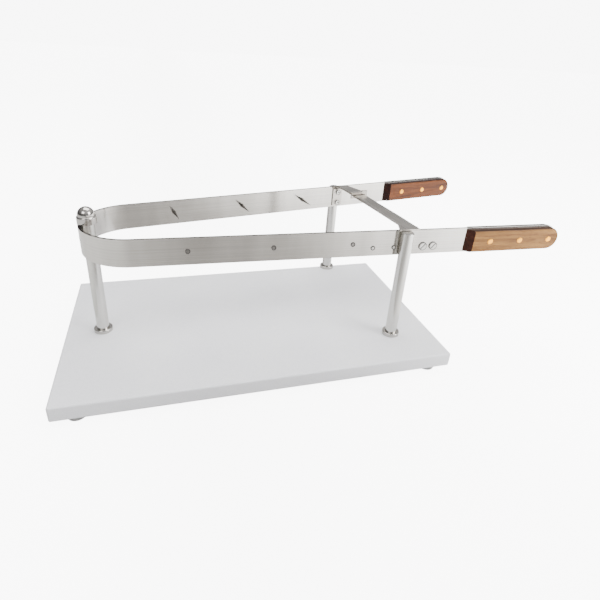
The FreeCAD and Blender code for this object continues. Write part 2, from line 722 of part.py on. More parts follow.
knuckle_low = size.bar_thick + size.slide_gap
guide_low = knuckle_low + size.guide_rise
pin_height = knuckle_low + size.knuckle_radius
dog_back = size.pin_reach - size.knuckle_radius - size.slide_gap
dog_top = pin_height + size.knuckle_radius


def crosswise(start, height):
    """Placement of a rod that lies across the bar at the pin and begins at start."""
    return bar_frame * FreeCAD.Placement(V(size.pin_reach, start, height), TOWARDS_Y)


def guide_plate():
    """Bent plate: tab on the rear arm, a slope, a tapered level stretch and two knuckles."""
    half = size.dog_width / 2
    flat_end = size.pin_reach + size.guide_flat
    to_bar = bar_frame.inverse() * rear_arm
    tab_face = -half_band - size.guide_thick
    near_nose = to_bar.multVec(V(size.tab_start, tab_face, size.tab_high))
    near_butt = to_bar.multVec(V(size.tab_end, tab_face, size.tab_high))
    left = near_nose.y
    right = left - size.guide_narrow
    top = padded("guide_top", [(size.pin_reach, -half), (flat_end, right), (flat_end, left),
                               (size.pin_reach, half)], "guide_thick")
    top.Placement = bar_frame * FreeCAD.Placement(V(0, 0, guide_low), UPRIGHT)
    slope = doc.addObject("Part::Feature", "guide_slope")
    slope.Shape = bent_strip(
        [V(flat_end, right, guide_low), V(flat_end, left, guide_low)],
        [near_butt, near_nose], size.guide_thick)
    slope.Placement = bar_frame
    tab = box("guide_tab", "tab_end - tab_start", "guide_thick", "tab_high - tab_low",
              rear_arm * FreeCAD.Placement(V(size.tab_start, tab_face, size.tab_low),
                                           UPRIGHT))
    knuckles = [cylinder(f"guide_knuckle_{i}", "knuckle_radius", "knuckle_length",
                         crosswise(start, pin_height))
                for i, start in enumerate((-half, half - size.knuckle_length))]
    blank = fuse("guide_blank", [top, slope, tab] + knuckles)
    inner = half - size.knuckle_length
    notch = doc.addObject("Part::Box", "dog_notch")
    notch.Length = 2 * (size.knuckle_radius + size.slide_gap)
    notch.Width = 2 * inner
    notch.Height = 4 * size.knuckle_radius
    notch.Placement = bar_frame * FreeCAD.Placement(
        V(size.pin_reach - notch.Length.Value / 2, -inner, 0), UPRIGHT)
    bore = cylinder("guide_bore", "pin_radius + play", "dog_width + 2 * overcut",
                    crosswise(-half - size.overcut, pin_height))
    before = FreeCAD.Placement(V(0, -size.guide_thick, 0), UPRIGHT)
    holes = arm_holes("tab_holes", rear_arm * before, post_screw_spots(), "screw_radius + play")
    part("guide_plate", cut("guide", blank, fuse("guide_cuts", [notch, bore, holes])))


def bent_strip(low_edge, far_edge, thick):
    """Solid between two edges of a bent plate: level at the first, upright at the second."""
    over = V(0, 0, thick)
    behind = (far_edge[0] - low_edge[0]).normalize() * thick
    behind.z = 0
    first = [low_edge[0], low_edge[1], low_edge[1] + over, low_edge[0] + over]
    second = [far_edge[0], far_edge[1], far_edge[1] + behind, far_edge[0] + behind]
    sections = [Part.makePolygon(corners + [corners[0]]) for corners in (first, second)]
    return Part.makeLoft(sections, True, True)


def dog():
    """Plate that hangs on the pin with the bar through its slot, and a thumb tab."""
    half = size.dog_width / 2
    front = dog_back - size.dog_thick
    corner = bar_frame * FreeCAD.Placement(V(front, -half, size.dog_low), UPRIGHT)
    plate = box("dog_plate", "dog_thick", "dog_width", "dog_thick", corner)
    plate.setExpression("Height", f"{dog_top:.3f} - Dims.dog_low")
    thumb = box("dog_thumb", "dog_thick", "thumb_width", "thumb_height",
                bar_frame * FreeCAD.Placement(V(front, -half, dog_top), UPRIGHT))
    inner = half - size.knuckle_length - size.slide_gap
    knuckle = cylinder("dog_knuckle", "knuckle_radius", "dog_width", crosswise(-inner, pin_height))
    knuckle.setExpression("Height", f"{2 * inner:.3f}")
    web = doc.addObject("Part::Box", "dog_web")
    web.Length = size.pin_reach - dog_back
    web.Width = 2 * inner
    web.Height = size.knuckle_radius
    web.Placement = bar_frame * FreeCAD.Placement(
        V(dog_back, -inner, pin_height - size.knuckle_radius / 2), UPRIGHT)
    window_corner = V(front - size.overcut, size.window_shift - size.window_width / 2,
                      (size.bar_thick - size.window_height) / 2)
    window = box("dog_window", "dog_thick + 2 * overcut", "window_width", "window_height",
                 bar_frame * FreeCAD.Placement(window_corner, UPRIGHT))
    bore = cylinder("dog_bore", "pin_radius + play", "dog_width + 2 * overcut",
                    crosswise(-half - size.overcut, pin_height))
    body = fuse("dog_body", [plate, thumb, knuckle, web])
    part("locking_dog", cut("dog", body, fuse("dog_cuts", [window, bore])))
    part("dog_pin", cylinder("pin", "pin_radius", "dog_width + 2 * pin_proud",
                             crosswise(-half - size.pin_proud, pin_height)))


def rear_post_screws():
    """Socket screws through the guide's tab and the rear arm into the rear post."""
    screw = turned("post_screw", [
        ("0", "0 - band_thick / 2 - guide_thick - socket_head_thick"),
        ("socket_head_radius - socket_rim", "0 - band_thick / 2 - guide_thick - socket_head_thick"),
        ("socket_head_radius", "socket_rim - band_thick / 2 - guide_thick - socket_head_thick"),
        ("socket_head_radius", "0 - band_thick / 2 - guide_thick"),
        ("screw_radius", "0 - band_thick / 2 - guide_thick"),
        ("screw_radius", "band_thick / 2 + fit_gap + post_screw_grip"),
        ("0", "band_thick / 2 + fit_gap + post_screw_grip")])
    socket = hexagon("post_screw_socket", "socket_radius", "socket_depth + overcut")
    socket.Placement.Base = V(0, 0, -half_band - size.guide_thick - size.socket_head_thick - size.overcut)
    group("rear_post_screws", cut("socket_screw", screw, socket),
          [rear_arm * across(*spot) for spot in post_screw_spots()])


# ---------------------------------------------------------------- nose

def nose_fittings():
    """Countersunk screw through the band, stud, collar and ball nut on the nose post."""
    base = band_top + size.fit_gap
    screw = turned("nose_screw_body", [
        ("0", "0"),
        ("nose_head_radius", "0"),
        ("screw_radius", "nose_head_depth"),
        ("screw_radius", "band_thick + fit_gap + nose_screw_grip"),
        ("0", "band_thick + fit_gap + nose_screw_grip")])
    outside = -size.post_radius - size.fit_gap - size.band_thick
    socket = hexagon("nose_screw_socket", "socket_radius", "socket_depth + overcut")
    socket.Placement.Base = V(0, 0, -size.overcut)
    part("nose_screw", cut("nose_socket_screw", screw, socket),
         clamp * FreeCAD.Placement(V(outside, 0, band_middle), ALONG_X))

    stud = cylinder("stud", "stud_radius", "stud_length",
                    clamp * turned_about_z(0, 0, base - size.stud_in_post, 0))
    part("nose_stud", stud)

    collar = turned("collar", [
        ("stud_radius + play", "0"),
        ("collar_radius", "0"),
        ("collar_radius", "collar_height"),
        ("stud_radius + play", "collar_height")])
    height = size.collar_height
    rounded(collar, "collar_soft", "collar_round",
            lambda edge: edge.BoundBox.ZMin > height - TOUCH
            and edge.BoundBox.XLength > size.collar_radius)
    part("nose_collar", collar, clamp * turned_about_z(0, 0, base, 0))

    ball = bind(doc.addObject("Part::Sphere", "ball"), Radius="ball_radius")
    below = box("ball_below", "ball_radius * 2", "ball_radius * 2", "ball_radius")
    below.Placement.Base = V(-size.ball_radius, -size.ball_radius, -size.ball_radius - size.ball_flat)
    bore = cylinder("ball_bore", "stud_radius + play",
                    "stud_length - stud_in_post - collar_height + overcut")
    bore.Placement.Base = V(0, 0, -size.ball_flat)
    part("ball_nut", cut("ball_nut_body", ball, fuse("ball_cuts", [below, bore])),
         clamp * turned_about_z(0, 0, base + size.collar_height + size.ball_flat, 0))


# ---------------------------------------------------------------- assembly

def check(objects):
    """Stops on any object that failed to compute or is not a sound solid."""
    for obj in doc.Objects:
        if "Invalid" in obj.State or "Error" in obj.State:
            raise RuntimeError(f"{obj.Name} ({obj.Label}) failed: {obj.State}")
    for obj in objects:
        if obj.Shape.isNull() or not obj.Shape.isValid() or not obj.Shape.Solids:
            raise RuntimeError(f"{obj.Label} is not a sound solid")


def stand_on_origin(objects):
    """Moves the assembly so that the origin is under the middle of its box, on the floor."""
    hull = FreeCAD.BoundBox()
    for obj in objects:
        hull.add(obj.Shape.optimalBoundingBox(False, False))
    shift = V(-(hull.XMin + hull.XMax) / 2, -(hull.YMin + hull.YMax) / 2, -hull.ZMin)
    for obj in objects:
        obj.Placement = FreeCAD.Placement(shift, UPRIGHT) * obj.Placement
    return shift


base_board()
rubber_feet()
foot_screws()
posts()
flanges()
post_bolts()
bands()
spikes()
handles()
locking_bar()
leg_rivets()
leg_screws()
guide_plate()
dog()
rear_post_screws()
nose_fittings()

doc.recompute()
check(parts)
shift = stand_on_origin(parts)
doc.recompute()
check(parts)
os.makedirs("parts", exist_ok=True)
for obj in parts:
    obj.Shape.exportStep(f"parts/{obj.Label}.step")
    print(f"{obj.Label}: {len(obj.Shape.Solids)} solids, {obj.Shape.Volume:.0f} mm3")

hinge_turn = math.radians(180 + size.split_turn)
hinge_x = bow_centre + bow_middle * math.cos(hinge_turn)
hinge = clamp.multVec(V(hinge_x, bow_middle * math.sin(hinge_turn), band_middle))
pin = bar_frame.multVec(V(size.pin_reach, 0, pin_height))
print("front arm hinge", hinge + shift)
print("dog pin", pin + shift, "axis", bar_frame.Rotation.multVec(Y_AXIS))
print("nose post axis", clamp.multVec(V(0, 0, band_top)) + shift)
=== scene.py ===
import math

import bmesh
import bpy
from mathutils import Matrix, Vector


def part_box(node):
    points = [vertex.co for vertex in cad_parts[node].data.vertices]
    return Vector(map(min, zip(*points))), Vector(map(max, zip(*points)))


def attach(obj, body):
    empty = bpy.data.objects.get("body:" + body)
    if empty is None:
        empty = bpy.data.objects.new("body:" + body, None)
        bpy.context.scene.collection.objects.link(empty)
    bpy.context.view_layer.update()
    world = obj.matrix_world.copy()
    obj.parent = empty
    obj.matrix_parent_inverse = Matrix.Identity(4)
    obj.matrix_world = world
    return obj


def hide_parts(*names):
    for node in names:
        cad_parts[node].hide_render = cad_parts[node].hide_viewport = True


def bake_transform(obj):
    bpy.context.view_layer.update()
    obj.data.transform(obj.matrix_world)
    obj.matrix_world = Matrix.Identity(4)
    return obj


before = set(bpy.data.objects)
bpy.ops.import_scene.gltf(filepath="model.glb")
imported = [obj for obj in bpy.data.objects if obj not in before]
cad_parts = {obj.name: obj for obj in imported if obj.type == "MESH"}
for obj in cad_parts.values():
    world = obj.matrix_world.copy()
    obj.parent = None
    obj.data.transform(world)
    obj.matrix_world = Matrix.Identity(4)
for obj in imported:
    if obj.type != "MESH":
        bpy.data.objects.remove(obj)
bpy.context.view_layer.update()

# Ham holder stand.  Metres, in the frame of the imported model: +X runs along the board towards
# the handles, +Y from the near edge to the far one, +Z up.  A plain colour is red, green, blue.

# ---------------------------------------------------------------- measures of the clamp

CLAMP_TURN = math.radians(4.14)      # clamp's centreline from the board's length
SPLAY = math.radians(6.48)           # each arm from that centreline
BOW_RADIUS = 0.0615                  # inside of the band's round nose
BAND_THICK = 0.003
BAND_EDGE = 0.0003                   # broken edges of the strip
POST_GAP = 0.0002                    # between band and posts
ARM_STEPS = 24                       # stations along each straight arm
BUTT_STEPS = 14                      # stations round each arm's rounded end
BOW_STEPS = 64                       # stations round the nose
SOFT_BELOW = 30                      # degrees between two faces that are shaded as one

RIVET_RING = (0.0019, 0.0031)        # inner and outer radius of the painted-shade ring in the gap round a riveted end
LEG_SCREW_RING = (0.0049, 0.0056)
POST_SCREW_RING = (0.0037, 0.0042)
RING_STEPS = 40
RING_RIM = 0.0001                    # a ring's thickness, and the width of its sloping rims
SLOT_ANGLE = 50                      # degrees that the leg screws' slots stand up from the arm
SLOT_HALF_LENGTH = 0.0046
SLOT_HALF_WIDTH = 0.0007
SLOT_TAPER = 0.2                     # underside of the slot's painted-shade strip, below the screw's face
SLOT_FLOOR = 0.0006                  # grime's underside below the screw's face
SLOT_SHADE_RISE = 0.0003                  # thickness of the slot's painted-shade strip
SLOT_STEPS = 12
WELD = 1e-6                          # points closer than this are one

# ---------------------------------------------------------------- colours

POST_STEEL = (0.60, 0.59, 0.56)
FITTING_STEEL = (0.47, 0.45, 0.425)
SPIKE_STEEL = (0.26, 0.25, 0.235)
SCREW_STEEL = (0.55, 0.54, 0.51)
BAR_STEEL = (0.50, 0.47, 0.43)
BAND_STEEL = (0.57, 0.55, 0.515)
EDGE_SHADE_STEEL = (0.24, 0.23, 0.215)     # the band's narrow top and bottom edges: the same steel made darker as painted shade
SMEAR_DARK = (0.84, 0.835, 0.83)     # broad smears on brushed steel
BRASS = (1.0, 0.43, 0.035)
TAN_WOOD = ((0.18, 0.072, 0.013), (0.42, 0.205, 0.05))           # dark and light grain
BROWN_WOOD = ((0.08, 0.018, 0.005), (0.27, 0.07, 0.015))
RED_WOOD = ((0.055, 0.014, 0.003), (0.20, 0.057, 0.010))
WOOD_END_SHADE = (0.15, 0.085, 0.17)       # painted shade on the scales' front ends, a dark purple over the end grain's own darker tone
WOOD_TOP_SHADE = (0.10, 0.07, 0.055)       # painted shade on the scales' narrow top edges
WHITE = (1, 1, 1)

# ---------------------------------------------------------------- stage, light and camera

FLOOR_HALF = 14.0
FLOOR_FADE = 1.0                     # the paper's tones spread from -X to +X over this reach
FLOOR_TONES = [(0.0, (0.90, 0.90, 0.89)), (0.26, (0.80, 0.80, 0.79)), (0.42, (0.34, 0.33, 0.32)),
               (0.55, (0.55, 0.54, 0.53)), (0.70, (0.90, 0.90, 0.90))]
BOUNCE = [(0.52, (0, 0, 0)), (0.85, WHITE)]     # a bounce card's glow over the paper at +X
BOUNCE_GLOW = 3.4
FLOOR_GLOW = 8.0                     # the paper's glow in the camera's own view
BACKDROP_GLOW = 8.3                  # the room's glow in the camera's own view
ROOM_TONES = [(0.0, (0.16, 0.16, 0.17)), (0.7, WHITE)]           # the room from level to overhead
ROOM_SIDES = (0.40, 1.35)            # the room's light from -X and from +X

SOFTBOXES = (                        # name, place and aim from the board's middle, sides, watts
    ("fill", (-1.0, -1.2, 1.5), (0, 0, 0), (1.0, 0.8), 16),
    ("key", (1.3, -0.9, 1.0), (0.3, -0.1, 0.1), (0.8, 1.0), 32),
    ("top", (0.1, 0.5, 1.9), (0, 0, 0), (1.6, 1.2), 44),
)

CAMERA_TURN = math.radians(17.16)    # from +Y towards +X
CAMERA_DOWN = math.radians(26.56)
CAMERA_ROLL = math.radians(3.64)
CAMERA_STAND = (-0.1116, -0.5647, 0.3656)       # from the middle of the board's top
CAMERA_SENSOR = 36                   # millimetres, as the lens
CAMERA_LENS = 27.3
CAMERA_SHIFT = (0.0106, -0.0496)     # image centre off the lens's axis, in widths of the image
CAMERA_NEAR = 0.01


def middle(node):
    low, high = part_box(node)
    return (low + high) / 2


def flat(point, height):
    return Vector((point.x, point.y, height))


def direction(angle):
    return Vector((math.cos(angle), math.sin(angle), 0))


def solids(node):
    """(lowest corner, highest corner) of each solid of a node, along X and then Y and Z."""
    work = bmesh.new()
    work.from_mesh(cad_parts[node].data)
    bmesh.ops.remove_doubles(work, verts=work.verts, dist=WELD)
    waiting = set(work.verts)
    found = []
    while waiting:
        reached = [waiting.pop()]
        for vert in reached:
            for edge in vert.link_edges:
                other = edge.other_vert(vert)
                if other in waiting:
                    waiting.discard(other)
                    reached.append(other)
        low = Vector([min(v.co[i] for v in reached) for i in range(3)])
        high = Vector([max(v.co[i] for v in reached) for i in range(3)])
        found.append((low, high))
    work.free()
    return sorted(found, key=lambda corners: tuple(corners[0]))


def smooth_piece(name, work, *materials):
    """The object that a bmesh describes, its normals outward and its shading smooth."""
    bmesh.ops.recalc_face_normals(work, faces=work.faces)
    mesh = bpy.data.meshes.new(name)
    work.to_mesh(mesh)
    work.free()
    for material in materials:
        mesh.materials.append(material)
    for polygon in mesh.polygons:
        polygon.use_smooth = True
    piece = bpy.data.objects.new(name, mesh)
    bpy.context.collection.objects.link(piece)
    return piece


def keep_hard_edges(piece, degrees):
    """Marks edges sharper than the angle, so that only the soft ones are shaded smooth."""
    limit = math.radians(degrees)
    work = bmesh.new()
    work.from_mesh(piece.data)
    for edge in work.edges:
        edge.smooth = len(edge.link_faces) == 2 and edge.calc_face_angle(0) < limit
    work.to_mesh(piece.data)
    work.free()


# ---------------------------------------------------------------- shader helpers

class Nodes:
    """A node tree; a value is either another node's output or what an input is set to."""

    def __init__(self, tree):
        self.tree = tree

    def feed(self, node, links):
        for socket, value in links.items():
            if isinstance(value, bpy.types.NodeSocket):
                self.tree.links.new(value, node.inputs[socket])
            else:
                node.inputs[socket].default_value = value

    def node(self, kind, links=None, **settings):
        made = self.tree.nodes.new(kind)
        for name, value in settings.items():
            setattr(made, name, value)
        self.feed(made, links or {})
        return made

    def ramp(self, value, stops):
        """The value 0 to 1 turned into colours; each stop is (place, colour)."""
        made = self.node("ShaderNodeValToRGB", {"Fac": value})
        elements = made.color_ramp.elements
        while len(elements) < len(stops):
            elements.new(0.5)
        for element, (place, colour) in zip(elements, stops):
            element.position = place
            element.color = (*colour, 1)
        return made.outputs["Color"]

    def span(self, value, low, high, start=0.0, stop=1.0):
        """The value from start to stop spread over low to high."""
        return self.node("ShaderNodeMapRange", {
            "Value": value, "From Min": start, "From Max": stop, "To Min": low,
            "To Max": high}).outputs[0]


class Shader(Nodes):
    """A node material with one Principled surface."""

    def __init__(self, name, **sockets):
        self.material = bpy.data.materials.new(name)
        self.material.use_nodes = True
        super().__init__(self.material.node_tree)
        self.surface = self.tree.nodes["Principled BSDF"]
        self.drive(**sockets)

    def drive(self, **sockets):
        """Sets or links the surface's inputs, named with underscores for spaces."""
        self.feed(self.surface, {name.replace("_", " "): value for name, value in sockets.items()})
        return self.material

    def coordinates(self, turn=0.0, stretch=(1, 1, 1), source="Object"):
        """Texture coordinates turned about Z and stretched, in metres before the stretch."""
        found = self.node("ShaderNodeTexCoord").outputs[source]
        turned = self.node("ShaderNodeMapping", {"Vector": found, "Rotation": (0, 0, -turn)})
        scaled = self.node("ShaderNodeMapping", {"Vector": turned.outputs[0], "Scale": stretch})
        return scaled.outputs[0]

    def noise(self, vector, scale=1.0, detail=3.0, roughness=0.5, distortion=0.0):
        return self.node("ShaderNodeTexNoise", {
            "Vector": vector, "Scale": scale, "Detail": detail, "Roughness": roughness,
            "Distortion": distortion}).outputs["Fac"]

    def multiply(self, first, second, share=1.0):
        """The first colour darkened by the second, in full or by a share."""
        factor, colour_a, colour_b, colour_result = 0, 6, 7, 2
        made = self.node("ShaderNodeMix", {factor: share, colour_a: first, colour_b: second},
                         data_type="RGBA", blend_type="MULTIPLY")
        return made.outputs[colour_result]

    def facing(self, way):
        """1 where the surface faces that way, 0 where it stands across it, -1 where it looks back."""
        normal = self.node("ShaderNodeTexCoord").outputs["Normal"]
        return self.node("ShaderNodeVectorMath", {0: normal, 1: tuple(way)},
                         operation="DOT_PRODUCT").outputs["Value"]

    def bump(self, height, distance, strength=1.0, under=None):
        links = {"Height": height, "Distance": distance, "Strength": strength}
        if under is not None:
            links["Normal"] = under
        return self.node("ShaderNodeBump", links).outputs[0]


# ---------------------------------------------------------------- materials

def board_plastic():
    """White polyethylene: a fine orange peel, faint clouds and a finer speckle."""
    shader = Shader("board_plastic", IOR=1.51, Specular_IOR_Level=0.4)
    place = shader.coordinates()
    clouds = shader.noise(place, scale=9, detail=4)
    speckle = shader.noise(place, scale=1400, detail=2)
    peel = shader.noise(place, scale=620, detail=3)
    tint = shader.ramp(clouds, [(0.3, (0.86, 0.86, 0.89)), (0.7, (0.92, 0.925, 0.94))])
    grain = shader.ramp(speckle, [(0.38, (0.86, 0.86, 0.87)), (0.58, WHITE)])
    return shader.drive(
        Base_Color=shader.multiply(tint, grain),
        Roughness=shader.span(clouds, 0.42, 0.55),
        Normal=shader.bump(peel, distance=0.00012, strength=0.7))


def foot_rubber():
    """Grey rubber, a little dusty."""
    shader = Shader("foot_rubber", Specular_IOR_Level=0.25)
    dust = shader.noise(shader.coordinates(), scale=260, detail=4)
    return shader.drive(
        Base_Color=shader.ramp(dust, [(0.3, (0.30, 0.305, 0.30)), (0.7, (0.42, 0.42, 0.41))]),
        Roughness=shader.span(dust, 0.6, 0.8),
        Normal=shader.bump(dust, distance=0.0001))


def brushed_steel(name, colour, turn=0.0, stretch=(4, 700, 700), source="Object", gloss=(0.22, 0.36)):
    """Steel with brushing lines along the turned X axis and a few broader smears."""
    shader = Shader(name, Metallic=1.0, Anisotropic=0.35)
    lines = shader.noise(shader.coordinates(turn, stretch, source), detail=5, roughness=0.62)
    broad = shader.noise(shader.coordinates(turn, (26, 7, 7), source), detail=3)
    light = [min(1, c * 1.1) for c in colour]
    dark = [c * 0.86 for c in colour]
    tone = shader.ramp(lines, [(0.3, dark), (0.7, light)])
    smears = shader.ramp(broad, [(0.35, SMEAR_DARK), (0.65, WHITE)])
    return shader.drive(
        Base_Color=shader.multiply(tone, smears),
        Roughness=shader.span(lines, *gloss),
        Normal=shader.bump(lines, distance=0.00002, strength=0.5))


def turned_steel(name, colour, gloss):
    """Lathe-turned steel: fine rings round Z."""
    shader = Shader(name, Metallic=1.0)
    rings = shader.noise(shader.coordinates(stretch=(20, 20, 2600)), detail=3)
    smear = shader.noise(shader.coordinates(stretch=(140, 140, 30)), detail=4)
    return shader.drive(
        Base_Color=shader.ramp(smear, [(0.3, [c * 0.9 for c in colour]), (0.7, colour)]),
        Roughness=shader.span(smear, *gloss),
        Normal=shader.bump(rings, distance=0.00001, strength=0.4))


def plain_metal(name, colour, gloss=(0.2, 0.4)):
    """Small fittings: evenly worn metal without a direction."""
    shader = Shader(name, Metallic=1.0)
    wear = shader.noise(shader.coordinates(), scale=900, detail=4)
    return shader.drive(
        Base_Color=shader.ramp(wear, [(0.25, [c * 0.75 for c in colour]), (0.65, colour)]),
        Roughness=shader.span(wear, *gloss),
        Normal=shader.bump(wear, distance=0.00003, strength=0.5))


def wood(name, tones, turn):
    """Oiled hardwood: long wandering grain, darker pores, a thin varnish, and painted shade on the front
    ends and the top edges.
    """
    shader = Shader(name, IOR=1.45, Specular_IOR_Level=0.2, Coat_Weight=0.04, Coat_Roughness=0.3)
    dark, light = tones
    half_tone = [(a + b) / 2 for a, b in zip(dark, light)]
    along = shader.coordinates(turn, (9, 90, 90))
    bands = shader.noise(along, scale=1.4, detail=4, roughness=0.55, distortion=0.8)
    fibres = shader.noise(shader.coordinates(turn, (30, 1300, 1300)), detail=4, roughness=0.6)
    pores = shader.noise(shader.coordinates(turn, (110, 1700, 1700)), detail=1)

    figure = shader.ramp(bands, [(0.3, dark), (0.5, half_tone), (0.7, light)])
    fibre_tone = shader.ramp(fibres, [(0.3, (0.62, 0.58, 0.55)), (0.62, WHITE)])
    pore_tone = shader.ramp(pores, [(0.30, (0.35, 0.28, 0.24)), (0.38, WHITE)])
    # Painted shade: faces turned to the front end darken towards dark purple (end grain in shadow), and
    # faces turned up darken as tops in shade.
    end_shade = shader.ramp(shader.facing(-direction(turn)), [(0.45, WHITE), (0.6, WOOD_END_SHADE)])
    top_shade = shader.ramp(shader.facing((0, 0, 1)), [(0.35, WHITE), (0.85, WOOD_TOP_SHADE)])
    colour = shader.multiply(figure, fibre_tone, share=0.8)
    colour = shader.multiply(colour, pore_tone, share=0.7)
    colour = shader.multiply(colour, end_shade)
    colour = shader.multiply(colour, top_shade)

    relief = shader.bump(fibres, distance=0.00005, strength=0.5)
    return shader.drive(
        Base_Color=colour,
        Roughness=shader.span(fibres, 0.5, 0.36),
        Normal=shader.bump(pores, distance=0.00004, strength=0.4, under=relief))


# ---------------------------------------------------------------- dressing the frame's nodes

def dress(material, *nodes):
    for node in nodes:
        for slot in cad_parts[node].material_slots:
            slot.link = "OBJECT"
            slot.material = material


def dress_frame():
    front = CLAMP_TURN - SPLAY
    rear = CLAMP_TURN + SPLAY
    dress(board_plastic(), "base_board")
    dress(foot_rubber(), "rubber_feet")
    posts = turned_steel("post_steel", POST_STEEL, gloss=(0.15, 0.24))
    dress(posts, "nose_post", "front_post", "rear_post")
    polished = turned_steel("fitting_steel", FITTING_STEEL, gloss=(0.08, 0.18))
    dress(polished, "nose_post_flange", "front_post_flange", "rear_post_flange", "nose_collar", "ball_nut")
    spikes = plain_metal("spike_steel", SPIKE_STEEL, gloss=(0.14, 0.28))
    dress(spikes, "front_spikes", "rear_spikes")
    screws = plain_metal("screw_steel", SCREW_STEEL)
    dress(screws, "foot_screws", "post_bolts", "post_washers", "leg_rivets", "leg_screws", "leg_nuts",
          "dog_pin", "rear_post_screws", "nose_screw", "nose_stud")
    brass = plain_metal("brass", BRASS, gloss=(0.28, 0.42))
    dress(brass, "front_handle_rivets", "rear_handle_rivets")
    across = CLAMP_TURN + math.pi / 2
    latch = brushed_steel("bar_steel", BAR_STEEL, turn=across, stretch=(6, 800, 800))
    dress(latch, "locking_bar", "guide_plate", "locking_dog")
    dress(wood("wood_tan", TAN_WOOD, front), "front_handle_outer_scale")
    dress(wood("wood_brown_front", BROWN_WOOD, front), "front_handle_inner_scale")
    red = wood("wood_brown_rear", RED_WOOD, rear)
    dress(red, "rear_handle_inner_scale", "rear_handle_outer_scale")


# ---------------------------------------------------------------- spring band

def band_path():
    """Stations (point, tangent, half height) along the strip's middle, rear butt to front butt."""
    low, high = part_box("rear_band")
    mid = (low.z + high.z) / 2
    half = (high.z - low.z) / 2
    radius = BOW_RADIUS + BAND_THICK / 2
    post_low, post_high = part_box("nose_post")
    post_radius = (post_high.x - post_low.x) / 2
    clear = BOW_RADIUS - post_radius - POST_GAP
    centre = flat(middle("nose_post"), mid) + direction(CLAMP_TURN) * clear

    def arm_stations(side):
        """From the end of the bow out to the rounded butt, along one arm."""
        angle = CLAMP_TURN + side * SPLAY
        along = direction(angle)
        start = centre + direction(angle + side * math.pi / 2) * radius
        butt_x = (high if side > 0 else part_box("front_band")[1]).x
        length = (butt_x - start.x) / math.cos(angle) - abs(math.sin(angle)) * BAND_THICK / 2
        straight = length - half
        reaches = [straight * i / ARM_STEPS for i in range(1, ARM_STEPS + 1)]
        found = [(start + along * reach, along, half) for reach in reaches]
        for i in range(1, BUTT_STEPS + 1):
            turn = math.pi / 2 * i / BUTT_STEPS
            height = max(half * math.cos(turn), BAND_THICK / 2)
            found.append((start + along * (straight + half * math.sin(turn)), along, height))
        return found

    rear_arm = [(point, -along, height) for point, along, height in reversed(arm_stations(1))]
    first = CLAMP_TURN + SPLAY + math.pi / 2
    last = CLAMP_TURN - SPLAY + 3 * math.pi / 2
    bow = []
    for i in range(BOW_STEPS + 1):
        angle = first + (last - first) * i / BOW_STEPS
        bow.append((centre + direction(angle) * radius, direction(angle + math.pi / 2), half))
    return rear_arm + bow + arm_stations(-1)


def band_profile(half):
    """The strip's section (across, up): a rectangle with its four edges broken."""
    thick = BAND_THICK / 2
    edge = min(BAND_EDGE, half / 3)
    return [(-thick, -half + edge), (-thick + edge, -half), (thick - edge, -half), (thick, -half + edge),
            (thick, half - edge), (thick - edge, half), (-thick + edge, half), (-thick, half - edge)]


def spring_band():
    """One strip with softly broken edges, brushed along its length."""
    work = bmesh.new()
    layer = work.loops.layers.uv.new("along")
    rings = []
    reach = 0.0
    before = None
    for point, along, half in band_path():
        reach += 0.0 if before is None else (point - before).length
        before = point
        side = Vector((-along.y, along.x, 0))
        profile = band_profile(half)
        ring = [work.verts.new(point + side * across + Vector((0, 0, up))) for across, up in profile]
        rings.append((ring, reach, [up for across, up in profile]))
    for (ring_a, reach_a, ups_a), (ring_b, reach_b, ups_b) in zip(rings, rings[1:]):
        for i in range(len(ring_a)):
            j = (i + 1) % len(ring_a)
            face = work.faces.new((ring_a[i], ring_a[j], ring_b[j], ring_b[i]))
            places = ((reach_a, ups_a[i]), (reach_a, ups_a[j]), (reach_b, ups_b[j]), (reach_b, ups_b[i]))
            for loop, place in zip(face.loops, places):
                loop[layer].uv = place
    work.faces.new(rings[0][0])
    work.faces.new(list(reversed(rings[-1][0])))

    sides = brushed_steel("band_steel", BAND_STEEL, stretch=(3, 900, 900), source="UV", gloss=(0.07, 0.17))
    edges = brushed_steel("band_edge_shade", EDGE_SHADE_STEEL, stretch=(8, 1500, 1500), source="UV", gloss=(0.08, 0.2))
    band = smooth_piece("spring_band", work, sides, edges)
    # Painted shade: faces turned up or down, the band's narrow edges, take the much darker copy of its
    # steel.
    for polygon in band.data.polygons:
        polygon.material_index = 1 if abs(polygon.normal.z) > 0.5 else 0
    keep_hard_edges(band, SOFT_BELOW)
    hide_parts("front_band", "rear_band")
    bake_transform(band)


# ---------------------------------------------------------------- painted shade in crevices and slots

